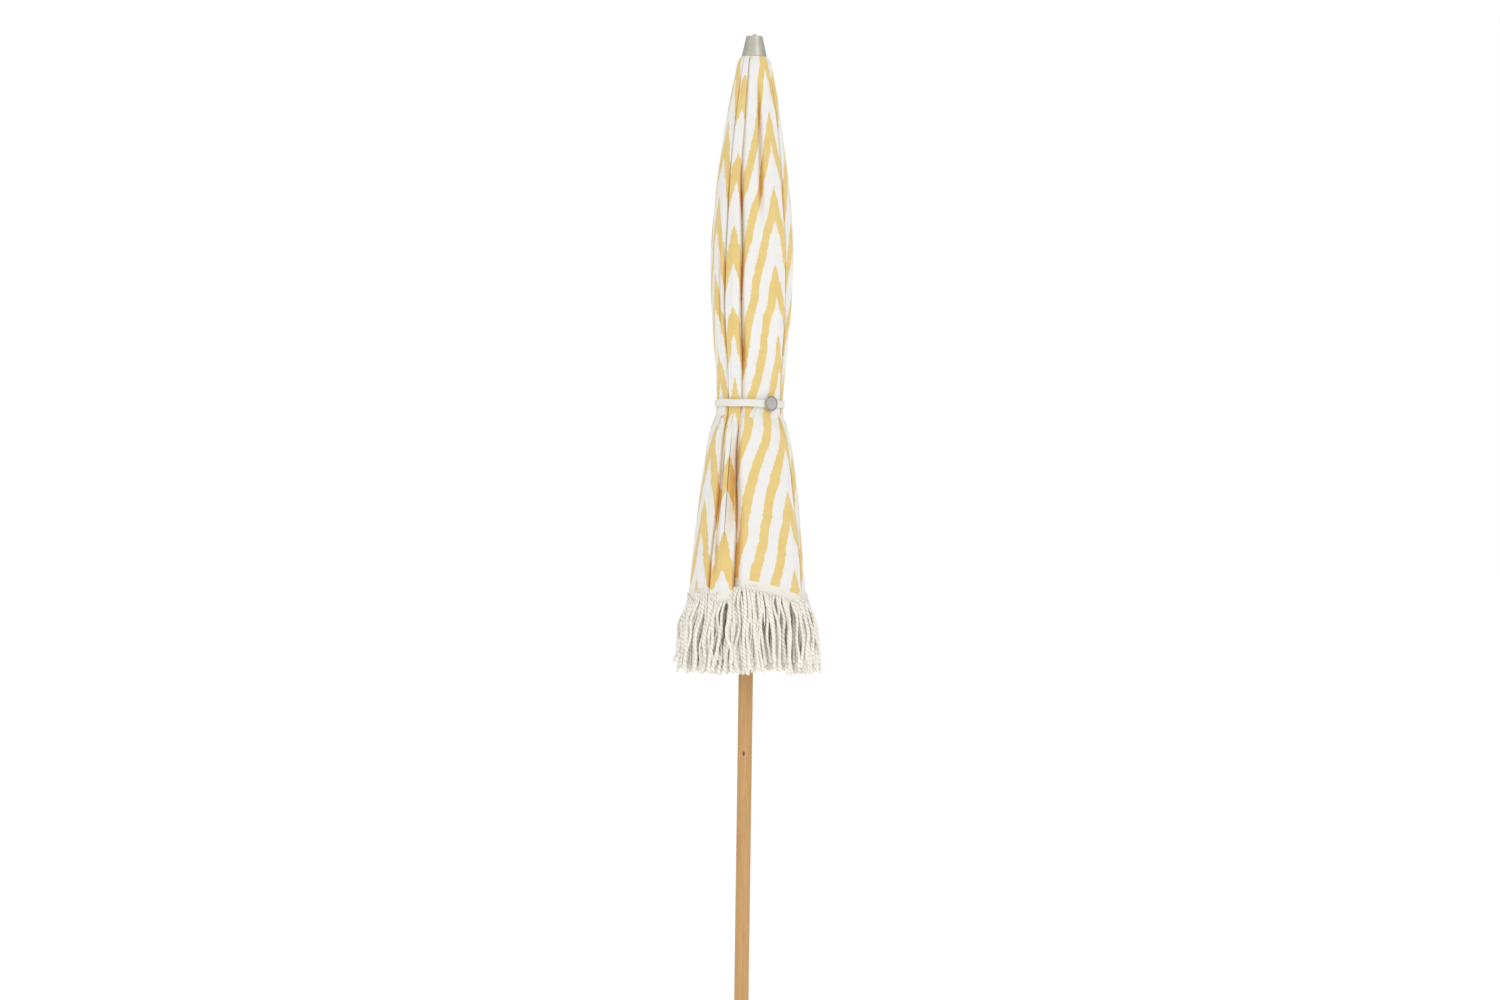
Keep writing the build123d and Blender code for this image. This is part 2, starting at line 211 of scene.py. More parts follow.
def follow_bodies(piece, bodies_and_weights):
    """Live hooks that draw each point towards further bodies, by its own weight for each."""
    for body, weights in bodies_and_weights:
        group = piece.vertex_groups.new(name=f"with_{body}")
        for index in np.nonzero(weights > 1e-4)[0]:
            group.add([int(index)], float(weights[index]), "REPLACE")
        hook = piece.modifiers.new(f"with_{body}", "HOOK")
        hook.object = bpy.data.objects[f"body:{body}"]
        hook.vertex_group = group.name
        hook.falloff_type = "NONE"
        hook.strength = 1.0
        hook.matrix_inverse = Matrix.Identity(4)


# ---------------------------------------------------------------- the furled cloth's shape
# height of the outside, and its radius at the ribs, in mm, from under the cap to the hem
OUTSIDE = [
    (2036, 27),
    (2028, 33),
    (2003, 38),
    (1945, 49.5),
    (1860, 62),
    (1760, 74),
    (1650, 80.5),
    (1570, 80),
    (1500, 75.5),
    (1440, 69),
    (1395, 65),
    (1370, 63.8),
    (1345, 65),
    (1310, 77),
    (1260, 87),
    (1150, 101),
    (985, 117),
]
CLOTH_TOP = 2036.0
HEM = 985.0
HEADER = 23.0  # height of the woven band along the hem
HEADER_ROWS = 4  # rows of points in that band
ROWS = 120  # rows of points down a gore
FACE_COLUMNS = 28  # columns of points across each outer face of a gore
LEG_STEPS = (0.03, 0.1, 0.2, 0.6, 1.0)  # a hidden layer's points, from the valley, 0, to its end, 1
LAYER_GAP = 2.2  # between folded layers
CORE_RADIUS = 30.0  # what the pole, ribs and stretchers fill
FULL_FOLD = 120.0  # spare width of cloth from which the layers lie a whole gap apart
VALLEY_REACH = 0.17  # how far from the valley's line its sides go down, as a share of the face
OPEN_CROWN_RADIUS = 28.0  # of the open cloth, level with the ribs' pivots
STRIPE_PERIOD = 37.0
STRIPE_RUN = 145.0  # down the cloth, for one period away from the seam
STRIPE_START = 402.0  # along a rib, where the seams' phases are counted
STRIPE_SPREAD = 0.17  # how much further apart the stripes are at the foot than at the top
SEAM_RISE_RUN = 120.0  # from the seam, over which the threads climb away from it
DEEP_FOLD = 8.0  # depth of a valley or pleat that is shaded most
HIDDEN_FOLD = 0.1  # shade of the hidden layers, which are open to the light when unfurled
# how far up the stripes are shifted at each seam, as a share of their period
SEAM_PHASES = (0.3, 0.7, 0.1, 0.5, 0.15, 0.55, 0.0, 0.4)
SEAM_SLOPE = math.tan(PITCH / 2) * math.sin(RIB_OPEN)  # of the cut edges, against the centre line
# how far each rib's seam has turned from its rib, in degrees, and where the valley after it lies,
# from that seam, 0, to the next, 1
SEAM_TURNS = (10, -3, 6, -5, 9, -3, 12, 9)
VALLEYS = (0.45, 0.62, 0.35, 0.5, 0.57, 0.13, 0.53, 0.4)
# how much further the seam of the rib at the front right is turned, in degrees, at a height, in mm,
# by the pull of the strap
FRONT_RIB = 6
FRONT_TURN = [(2036, 0), (1640, 0), (1492, 11), (1400, 24), (1323, 25), (1208, 18), (985, 21)]
PLEAT_WIDTH = 0.06  # as a share of the gore's angle
PLEAT_FADE = 90.0  # height over which a pleat starts and ends
# loose pleats in the outer face of a gore: its number, where across it, between which heights, in mm,
# and how deep, in mm
PLEATS = (
    (5, 0.66, 2000, 1690, 9),
    (4, 0.25, 1700, 1480, 5),
    (5, 0.06, 1340, 1080, 7),
    (4, 0.72, 1330, 1010, 9),
    (3, 0.3, 1950, 1600, 7),
    (2, 0.7, 1990, 1560, 8),
    (1, 0.25, 1330, 1050, 9),
    (0, 0.75, 1900, 1500, 8),
    (7, 0.72, 1330, 1020, 8),
    (7, 0.8, 1980, 1650, 6),
)


def seam_angle(n, height):
    """Where round the pole seam n lies at a height; it goes on past a whole turn."""
    turn = SEAM_TURNS[n % RIBS] + (smooth_curve(FRONT_TURN, height) if n % RIBS == FRONT_RIB else 0)
    return rib_angle(n) + np.radians(turn) + 2 * math.pi * (n // RIBS)


def station(height):
    """Distance along a rib, in mm, of a seam's point at this height."""
    return (RIB_PIVOT_Z / MM - height) / math.cos(RIB_REST)


def gore_width(along):
    """Flat width of a gore, in mm, at a distance along its ribs. Above the pivots it stays the same."""
    return 2 * math.sin(PITCH / 2) * (OPEN_CROWN_RADIUS + np.maximum(along, -4) * math.sin(RIB_OPEN))


def open_rib_point(n, along):
    """Where the cloth crosses rib n when the umbrella is open, in mm."""
    radius = RIB_PIVOT_R / MM + along * math.sin(RIB_OPEN)
    height = RIB_PIVOT_Z / MM - along * math.cos(RIB_OPEN)
    angle = rib_angle(n)
    return np.stack([radius * math.cos(angle), radius * math.sin(angle), height], -1)


def sector_radius(share, height, outside, span):
    """Radius of the outer layer across a gore: flat between the ridges, with creases by the strap."""
    angle = (share - 0.5) * span
    flat = np.cos(span / 2) / np.cos(angle)
    # waves that run slantwise: share is multiplied by their number, in radians, height divided by mm
    pinch = np.exp(-(((height - STRAP_Z) / 95) ** 2))
    crease = np.sin(share * 23 + height / 46) * 0.6 + np.sin(share * 41 - height / 31) * 0.35
    bulge = np.sin(share * 9.0 + height / 70) * 0.9 + np.sin(share * 5.0 - height / 113 + 2) * 1.2
    edge = np.sin(np.pi * share)
    fullness = smoothstep(2000, 1850, height)
    under_strap = np.exp(-(((height - STRAP_Z) / 16) ** 2))
    flatness = 0.4 * (1 - 0.8 * pinch)
    wrinkles = (bulge + (0.8 + 1.6 * pinch) * crease) * (1 - 0.9 * under_strap)
    return outside * (1 - flatness + flatness * flat) + edge * fullness * wrinkles


def fold_gore(n, layers):
    """Furled points of the gore between rib n and the next, in mm: (rows, columns, 3), with each
    point's share of the width, its place on the flat cloth and its painted fold shade: more the deeper
    it lies in a valley or pleat, and a little on the hidden layers."""
    cloth = np.linspace(CLOTH_TOP, HEM + HEADER + 1, ROWS - HEADER_ROWS)
    heights = np.concatenate([cloth, np.linspace(HEM + HEADER, HEM, HEADER_ROWS)])[:, None]
    first, last = seam_angle(n, heights), seam_angle(n + 1, heights)
    span = last - first
    # the valley strays a little from its line, but not under the strap
    strays = 0.035 * np.sin(heights / 95 + 2 * n) + 0.02 * np.sin(heights / 41 + n)
    valley = VALLEYS[n % RIBS] + strays * smoothstep(0, 90, np.abs(heights - STRAP_Z))
    outside = smooth_curve(OUTSIDE, heights)
    along = station(heights)
    width = gore_width(along)

    # from the first seam over the face, then to and fro through the layers; the other side mirrors it
    half = [(0, 1 - t) for t in np.linspace(0, 1, FACE_COLUMNS)]
    for layer in range(1, layers + 1):
        half += [(layer, t) for t in (LEG_STEPS if layer % 2 else LEG_STEPS[::-1])]
    columns = [(0, *place) for place in half] + [(1, *place) for place in half[::-1]]
    side, depth, share = np.array(columns, float).T

    face = depth == 0
    pulled_in = 1 - 0.55 * np.exp(-(((heights - STRAP_Z) / 60) ** 2))
    deepest = (4 + 6 * smoothstep(1950, 1700, heights)) * pulled_in
    spare = np.clip((width - outside * span) / FULL_FOLD, 0, 1)
    room = np.minimum(LAYER_GAP, (outside - CORE_RADIUS) / (layers + 2)) * spare

    # share is 0 at the valley and 1 at the seam. A hidden leg stops short of the seam, and how far it
    # reaches is what makes each row as long as the flat cloth is wide.
    leg = np.full_like(heights, 0.5)
    for _ in range(6):
        reach = np.where(face, share, share * leg)
        across = np.where(side == 0, valley * (1 - reach), valley + (1 - valley) * reach)
        dip = deepest * smoothstep(VALLEY_REACH, 0.0, reach) ** 1.4
        for _, middle, top, bottom, deep in (p for p in PLEATS if p[0] == n):
            above = smoothstep(top, top - PLEAT_FADE, heights)
            within = above * smoothstep(bottom, bottom + PLEAT_FADE, heights)
            dip = dip + deep * within * np.exp(-(((across - middle) / PLEAT_WIDTH) ** 2))
        behind = np.where(face, 0, spare + depth * room)
        radius = sector_radius(across, heights, outside, span) - dip - behind
        angle = first + across * span
        points = np.stack([radius * np.cos(angle), radius * np.sin(angle), heights + 0 * radius], -1)
        lengths = np.linalg.norm(np.diff(points[..., :2], axis=1), axis=-1)
        run = np.concatenate([np.zeros((len(heights), 1)), np.cumsum(lengths, axis=1)], axis=1)
        total = run[:, -1:]
        outer = lengths[:, face[1:] & face[:-1]].sum(1, keepdims=True)
        leg = np.clip(leg * (width - outer) / (total - outer), 0.02, 0.97)
    u = run / total
    from_seam = np.minimum(run, total - run)
    climb = SEAM_SLOPE * SEAM_RISE_RUN * (1 - np.exp(-from_seam / SEAM_RISE_RUN))
    points[..., 2] += climb * smoothstep(2010, 1700, heights)
    spread = 1 + STRIPE_SPREAD * smoothstep(600, 850, along)
    phase = (1 - u) * SEAM_PHASES[n % RIBS] + u * SEAM_PHASES[(n + 1) % RIBS]
    stripe = from_seam / spread / STRIPE_PERIOD - (along - STRIPE_START) / STRIPE_RUN + phase
    # painted shade: how much of the folds' painted colour each point gets, most in the deepest valleys and
    # pleats, and a little on the hidden layers
    fold = np.where(depth <= 1, np.minimum(dip / DEEP_FOLD, 1), HIDDEN_FOLD)
    flat = np.stack([stripe * STRIPE_PERIOD, along + 0 * u, fold + 0 * u], -1)
    return points, u, flat


def hook_weights(bodies, points, targets):
    """Weights, 0 to 1, that draw each point to the resting pole and to a second body, one after the
    other, so that the body it rides on carries it near its target; and the place that it reaches.
    bodies are the moves of its own body and the second one. Everything is in metres."""
    own, other = bodies
    back = np.linalg.inv(own)
    to_other = back @ other

    def carried(rest, drawn):
        held = points + rest[:, None] * (moved(back, points) - points)
        held = held + drawn[:, None] * (moved(to_other, held) - held)
        return moved(own, held)

    rest, drawn = np.full(len(points), 0.05), np.full(len(points), 0.5)
    step = 1e-4
    for _ in range(12):
        here = carried(rest, drawn)
        miss = targets - here
        by_rest = (carried(rest + step, drawn) - here) / step
        by_drawn = (carried(rest, drawn + step) - here) / step
        a, b, c = (by_rest**2).sum(1), (by_rest * by_drawn).sum(1), (by_drawn**2).sum(1)
        p, q = (by_rest * miss).sum(1), (by_drawn * miss).sum(1)
        det = np.maximum(a * c - b * b, 1e-12)
        rest = np.clip(rest + (c * p - b * q) / det, 0, 1)
        drawn = np.clip(drawn + (a * q - b * p) / det, 0, 1)
    return rest, drawn, carried(rest, drawn)


def moves_of(n):
    """How the ribs on both sides of gore n move when the umbrella opens."""
    return [turn_about(f"rib_hinge_{k % RIBS + 1}") for k in (n, n + 1)]


def open_seam(n, seam):
    """Where the seam over rib n lies when the umbrella is open, as near the rib as both of the gores
    that it joins can follow. seam is its furled line, in metres. The cloth stays where it is at the
    crown, and lies over the rib from 60 mm along it."""
    along = station(seam[:, 2] / MM)
    hold = smoothstep(-20, 60, along)[:, None]
    over_rib = open_rib_point(n, along) * MM + np.array([0, 0, 0.004])
    target = seam * (1 - hold) + over_rib * hold
    for _ in range(20):
        after = hook_weights(moves_of(n), seam, target)[2]
        before = hook_weights(moves_of(n - 1), seam, target)[2]
        target = (after + before) / 2
    return target


def open_targets(n, points, u, seams):
    """Where the gore's points belong when the umbrella is open: flat between its two seams, with what
    is folded inside a little lower, so that it doesn't cross the rest. In metres."""
    flat = (1 - u)[..., None] * seams[0][:, None] + u[..., None] * seams[1][:, None]
    radius = np.linalg.norm(points[..., :2], axis=-1)
    inside = np.clip(radius[:, :1] - radius, 0, 0.02)
    return flat - inside[..., None] * 0.3 * np.array([0, 0, 1])


# ---------------------------------------------------------------- materials
def striped_canvas(cloth):
    """Cotton canvas dyed in stripes: a matt plain weave, and edges that look torn where the dye stops."""
    material, add = start_material("striped_cotton_canvas")
    place = add("Attribute", attribute_name="cloth").node.outputs["Vector"]
    across, along, fold = add("SeparateXYZ", [place]).node.outputs
    even = add("VectorMath", [place, (0.4, 1, 0)], operation="MULTIPLY")
    # the edges wander by some 3 mm over 60 mm, and fray by 1 mm over 8 mm
    wander = add("Math", [add("TexNoise", [even, 0.017, 2.0]), -0.5], operation="ADD")
    fray = add("Math", [add("TexNoise", [even, 0.13, 3.0]), -0.5], operation="ADD")
    shifted = add("Math", [wander, cloth.edge_wander, across], operation="MULTIPLY_ADD")
    shifted = add("Math", [fray, cloth.edge_wander * 0.4, shifted], operation="MULTIPLY_ADD")
    wave = add("Math", [shifted, cloth.stripe_period / 2], operation="PINGPONG")
    edge = cloth.stripe_period * 0.225
    dyed = add("MapRange", [wave, edge + 0.5, edge - 0.5], interpolation_type="SMOOTHSTEP")
    patch = add("TexNoise", [place, 0.05, 4.0])
    yellow = add("Mix", [patch, [*cloth.yellow, 1], linear_colour("#E1C173")], data_type="RGBA")
    white = add("Mix", [patch, [*cloth.white, 1], linear_colour("#E8E6E3")], data_type="RGBA")
    # painted shade: the folds are painted a deeper, warmer colour, for the light that comes through the
    # cloth and out of a fold again
    deep = add("Math", [fold, 0.85], operation="MULTIPLY")
    yellow = add("Mix", [deep, yellow, linear_colour("#CB8734")], data_type="RGBA")
    white = add("Mix", [deep, white, linear_colour("#DCC7A4")], data_type="RGBA")
    colour = add("Mix", [dyed, white, yellow], data_type="RGBA")
    # a canvas thread is 0.5 mm, drawn at 1.1 mm so that it shows
    thread = 2 * math.pi / 1.1
    weft = add("Math", [add("Math", [across, thread], operation="MULTIPLY")], operation="SINE")
    warp = add("Math", [add("Math", [along, thread], operation="MULTIPLY")], operation="SINE")
    weave = add("Math", [weft, warp], operation="MULTIPLY")
    slub = add("TexNoise", [add("VectorMath", [place, (1, 0.15, 1)], operation="MULTIPLY"), 0.35, 3.0])
    rise = add("Math", [weave, 0.35, slub], operation="MULTIPLY_ADD")
    bump = add("Bump", {"Height": rise, "Distance": 0.0004, "Strength": 0.5})
    values = {
        "Base Color": colour,
        "Roughness": 0.92,
        "Specular IOR Level": 0.2,
        "Sheen Weight": 0.25,
        "Sheen Roughness": 0.5,
        "Normal": bump,
    }
    add("OutputMaterial", {"Surface": add("BsdfPrincipled", values)})
    return material


def woven_header(cord):
    """Woven cotton tape: cream, with braided cords along it, painted lighter where they catch the light and
    darker between them.
    """
    material, add = start_material("woven_cotton_header")
    place = add("Attribute", attribute_name="cloth").node.outputs["Vector"]
    across, along, fold = add("SeparateXYZ", [place]).node.outputs
    # the braid's cords are 2.4 mm apart one way and 4 mm the other
    one = add("Math", [add("Math", [across, 2 * math.pi / 2.4], operation="MULTIPLY")], operation="SINE")
    other = add("Math", [add("Math", [along, 2 * math.pi / 4], operation="MULTIPLY")], operation="SINE")
    braid = add("Math", [one, other], operation="MULTIPLY")
    fibre = add("TexNoise", [place, 0.8, 3.0])
    # painted shade and highlight: the braid is painted darker between its cords and lighter on them; the
    # fibre noise varies the tone
    shade = add("Math", [braid, 0.35, fibre], operation="MULTIPLY_ADD")
    light = add("MapRange", [shade, 0.1, 0.9], interpolation_type="SMOOTHSTEP")
    colour = add("Mix", [light, linear_colour("#DDD6C8"), [*cord.colour, 1]], data_type="RGBA")
    # painted shade: where the cloth is folded, the header is painted darker
    deep = add("Math", [fold, 0.5], operation="MULTIPLY")
    colour = add("Mix", [deep, colour, linear_colour("#A79A82")], data_type="RGBA")
    bump = add("Bump", {"Height": shade, "Distance": 0.0008, "Strength": 0.7})
    values = {"Base Color": colour, "Roughness": 0.95, "Sheen Weight": 0.2, "Normal": bump}
    add("OutputMaterial", {"Surface": add("BsdfPrincipled", values)})
    return material


def twisted_cord(cord):
    """Twisted cotton cord: two cream plies, with painted shade in the soft grooves between them."""
    material, add = start_material("twisted_cotton_cord")
    twist = add("Attribute", attribute_name="twist").node.outputs["Vector"]
    around, along, own = add("SeparateXYZ", [twist]).node.outputs
    # around runs from 0 to 1 round the cord, along is in mm, own is this cord's random tone, with painted
    # shade added for cords that hang from folds and hidden layers
    turns = add("Math", [around, 2.0, add("Math", [along, 2 / cord.twist], operation="MULTIPLY")],
                operation="MULTIPLY_ADD")
    ply = add("Math", [turns, 0.5], operation="PINGPONG")
    groove = add("MapRange", [ply, 0.02, 0.2], interpolation_type="SMOOTHSTEP")
    fibre = add("TexNoise", [add("TexCoord").node.outputs["Object"], 500.0, 3.0])
    tint = add("Mix", [own, [*cord.colour, 1], linear_colour("#F3EEE4")], data_type="RGBA")
    tint = add("Mix", [add("Math", [fibre, 0.35], operation="MULTIPLY"), tint, linear_colour("#ECE6DA")],
               data_type="RGBA")
    # painted shade: the grooves between the plies are painted darker
    colour = add("Mix", [groove, linear_colour("#DDD4C3"), tint], data_type="RGBA")
    bump = add("Bump", {"Height": groove, "Distance": 0.0006, "Strength": 0.5})
    values = {"Base Color": colour, "Roughness": 0.95, "Sheen Weight": 0.2, "Normal": bump}
    add("OutputMaterial", {"Surface": add("BsdfPrincipled", values)})
    return material


def cotton_webbing():
    """Woven cotton webbing: off-white and matt, with fine ribs along it and painted shade between them."""
    material, add = start_material("cotton_webbing")
    place = add("TexCoord").node.outputs["Object"]
    height = add("SeparateXYZ", [place]).node.outputs[2]
    # ribs 1.6 mm apart across the strap
    rib = add("Math", [add("Math", [height, 2 * math.pi / 0.0016], operation="MULTIPLY")], operation="SINE")
    fibre = add("TexNoise", [place, 900.0, 3.0])
    # painted shade: the grooves between the ribs are painted darker; the fibre noise varies the tone
    shade = add("Math", [rib, 0.25, fibre], operation="MULTIPLY_ADD")
    light = add("MapRange", [shade, 0.1, 0.9], interpolation_type="SMOOTHSTEP")
    colour = add("Mix", [light, linear_colour("#DBD7D0"), linear_colour("#F0EDE8")], data_type="RGBA")
    bump = add("Bump", {"Height": shade, "Distance": 0.0003, "Strength": 0.6})
    values = {"Base Color": colour, "Roughness": 0.9, "Sheen Weight": 0.2, "Normal": bump}
    add("OutputMaterial", {"Surface": add("BsdfPrincipled", values)})
    return material


def oiled_ash(wood):
    """Turned and oiled ash: light brown, with long fine grain, darker pores and one small knot."""
    material, add = start_material("oiled_ash")
    place = add("TexCoord").node.outputs["Object"]
    # grain lines are 1.6 mm apart and 80 mm long, the broad figure 13 mm by 270 mm
    grain, figure, pores = (
        add("TexNoise", [add("VectorMath", [place, (1, 1, squeeze)], operation="MULTIPLY"), *noise])
        for squeeze, noise in ((0.02, (620.0, 4.0, 0.6)), (0.05, (75.0, 3.0)), (0.04, (1500.0, 2.0)))
    )
    knot = (-0.15 * POLE_RADIUS, -POLE_RADIUS, wood.knot_height)
    offset = add("VectorMath", [place, knot], operation="SUBTRACT")
    offset = add("VectorMath", [offset, (1, 1, 0.55)], operation="MULTIPLY")
    far = add("VectorMath", [offset], operation="LENGTH")
    colour = [*wood.dark, 1]
    for mask, tint in (
        ([grain, 0.3, 0.7], [*wood.light, 1]),
        ([figure, 0.4, 0.75, 0.0, 0.4], linear_colour("#B58548")),
        ([pores, 0.6, 0.74, 0.0, 0.45], linear_colour("#8F6535")),
        ([far, 0.0036, 0.0012], linear_colour("#5E4527")),
    ):
        share = add("MapRange", mask, interpolation_type="SMOOTHSTEP")
        colour = add("Mix", [share, colour, tint], data_type="RGBA")
    rise = add("Math", [grain, pores], operation="ADD")
    bump = add("Bump", {"Height": rise, "Distance": 0.0002, "Strength": 0.4})
    rough = add("MapRange", [grain, 0.2, 0.8, 0.42, 0.6], interpolation_type="SMOOTHSTEP")
    values = {"Base Color": colour, "Roughness": rough, "Normal": bump}
    add("OutputMaterial", {"Surface": add("BsdfPrincipled", values)})
    return material


def brushed_metal(name, light, dark, roughness, direction, scale):
    """Brushed metal: scratches along one way spread its highlight across them."""
    material, add = start_material(name)
    place = add("TexCoord").node.outputs["Object"]
    lines = add("VectorMath", [place, direction], operation="MULTIPLY")
    scratches = add("TexNoise", [lines, scale, 3.0])
    cloud = add("TexNoise", [place, 90.0, 3.0])
    both = add("Math", [scratches, 0.7, add("Math", [cloud, 0.3], operation="MULTIPLY")],
               operation="MULTIPLY_ADD")
    colour = add("Mix", [both, linear_colour(dark), linear_colour(light)], data_type="RGBA")
    rough = add("MapRange", [scratches, 0.2, 0.8, roughness - 0.08, roughness + 0.08])
    bump = add("Bump", {"Height": scratches, "Distance": 0.00008, "Strength": 0.5})
    values = {"Base Color": colour, "Roughness": rough, "Metallic": 1.0, "Normal": bump}
    add("OutputMaterial", {"Surface": add("BsdfPrincipled", values)})
    return material


def fine_surface(name, light, dark, grit_mm, roughness):
    """A moulded or sprayed surface: nearly even in colour, with a fine grit that softens its gloss."""
    material, add = start_material(name)
    place = add("TexCoord").node.outputs["Object"]
    grit = add("TexNoise", [place, 1000 / grit_mm, 2.0])
    cloud = add("TexNoise", [place, 50.0, 3.0])
    colour = add("Mix", [cloud, linear_colour(dark), linear_colour(light)], data_type="RGBA")
    rough = add("MapRange", [grit, 0.2, 0.8, roughness - 0.08, roughness + 0.08])
    bump = add("Bump", {"Height": grit, "Distance": 0.0001, "Strength": 0.4})
    values = {"Base Color": colour, "Roughness": rough, "Normal": bump}
    add("OutputMaterial", {"Surface": add("BsdfPrincipled", values)})
    return material


def give_material(material, *nodes):
    """Puts the material on CAD nodes that keep their shape."""
    for name in nodes:
        mesh = frame["nodes"][name].data
        mesh.materials.clear()
        mesh.materials.append(material)


# ---------------------------------------------------------------- settings
class ClothSettings(bpy.types.PropertyGroup):
    stripe_period: FloatProperty(
        name="Stripe period", description="From one yellow stripe to the next, in mm",
        default=STRIPE_PERIOD, min=5.0,
    )
    edge_wander: FloatProperty(
        name="Edge wander", description="How far the stripes' edges stray, in mm", default=13.0, min=0.0
    )
    yellow: FloatVectorProperty(
        name="Yellow", description="Colour of the dyed stripes", subtype="COLOR",
        default=linear_colour("#E8D08D")[:3], min=0.0, max=1.0,
    )
    white: FloatVectorProperty(
        name="White", description="Colour of the undyed cloth", subtype="COLOR",
        default=linear_colour("#EEEDEA")[:3], min=0.0, max=1.0,
    )
    layers: IntProperty(
        name="Folded layers", description="Layers of cloth folded in on each side of a valley",
        default=10, min=2,
    )


class CordSettings(bpy.types.PropertyGroup):
    diameter: FloatProperty(
        name="Cord diameter", description="Thickness of a fringe cord",
        default=0.0060, unit="LENGTH", min=0.001,
    )
    spacing: FloatProperty(
        name="Cord spacing", description="Between cords along the flat hem",
        default=0.0064, unit="LENGTH", min=0.002,
    )
    twist: FloatProperty(
        name="Twist", description="Length in which a ply goes once round, in mm", default=17.0, min=2.0
    )
    colour: FloatVectorProperty(
        name="Cream", description="Colour of the cotton cord and header", subtype="COLOR",
        default=linear_colour("#FCFAF4")[:3], min=0.0, max=1.0,
    )


class WoodSettings(bpy.types.PropertyGroup):
    light: FloatVectorProperty(
        name="Light grain", description="Colour of the early wood", subtype="COLOR",
        default=linear_colour("#CDA56E")[:3], min=0.0, max=1.0,
    )
    dark: FloatVectorProperty(
        name="Dark grain", description="Colour of the late wood", subtype="COLOR",
        default=linear_colour("#BA8D54")[:3], min=0.0, max=1.0,
    )
    knot_height: FloatProperty(
        name="Knot height", description="Height of the small knot on the front of the pole",
        default=0.70, unit="LENGTH",
    )


class StageSettings(bpy.types.PropertyGroup):
    distance: FloatProperty(
        name="Camera distance", description="From the pole's axis", default=7.0, unit="LENGTH"
    )
    height: FloatProperty(name="Camera height", description="Above the floor", default=1.186, unit="LENGTH")
    front_light: FloatProperty(
        name="Front light", description="Brightness of the room in front", default=1.02
    )
    back_light: FloatProperty(name="Back light", description="Brightness of the room behind", default=0.5)
    lens: FloatProperty(name="Lens", description="Focal length", default=87.5, subtype="DISTANCE_CAMERA")
    roll: FloatProperty(
        name="Camera roll", description="Makes the pole lean in the view",
        default=math.radians(-0.78), unit="ROTATION",
    )


class UmbrellaSettings(bpy.types.PropertyGroup):
    cloth: PointerProperty(type=ClothSettings, name="Cloth", description="The canopy's canvas")
    cord: PointerProperty(type=CordSettings, name="Cord", description="The fringe's cords")
    wood: PointerProperty(type=WoodSettings, name="Wood", description="The pole's wood")
    stage: PointerProperty(type=StageSettings, name="Stage", description="The camera and the light")


# ---------------------------------------------------------------- operators
class UMBRELLA_OT_canopy(bpy.types.Operator):
    """Folds the eight gores of the striped canopy round the closed ribs"""

    bl_idname = "umbrella.canopy"
    bl_label = "Canopy"

    def execute(self, context):
        settings = context.scene.umbrella
        materials = [striped_canvas(settings.cloth), woven_header(settings.cord)]
        for n in range(RIBS):
            points, u, flat = fold_gore(n, settings.cloth.layers)
            metres = points * MM
            gore = mesh_piece(f"gore_{n + 1}", metres.reshape(-1, 3), grid_faces(*u.shape), materials)
            header = np.zeros((u.shape[0] - 1, u.shape[1] - 1), np.int32)
            header[1 - HEADER_ROWS :] = 1
            gore.data.polygons.foreach_set("material_index", header.ravel())
            store_vectors(gore, "cloth", flat.reshape(-1, 3))
            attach(gore, body_of_rib(n))
            seams = open_seam(n, metres[:, 0]), open_seam(n + 1, metres[:, -1])
            targets = open_targets(n, metres, u, seams)
            rest, drawn, _ = hook_weights(moves_of(n), metres.reshape(-1, 3), targets.reshape(-1, 3))
            follow_bodies(gore, [("upper_pole", rest), (body_of_rib(n + 1), drawn)])
            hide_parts(f"canopy_panel_{n + 1}", *(["crown_cloth"] if n == 0 else []))
        return {"FINISHED"}


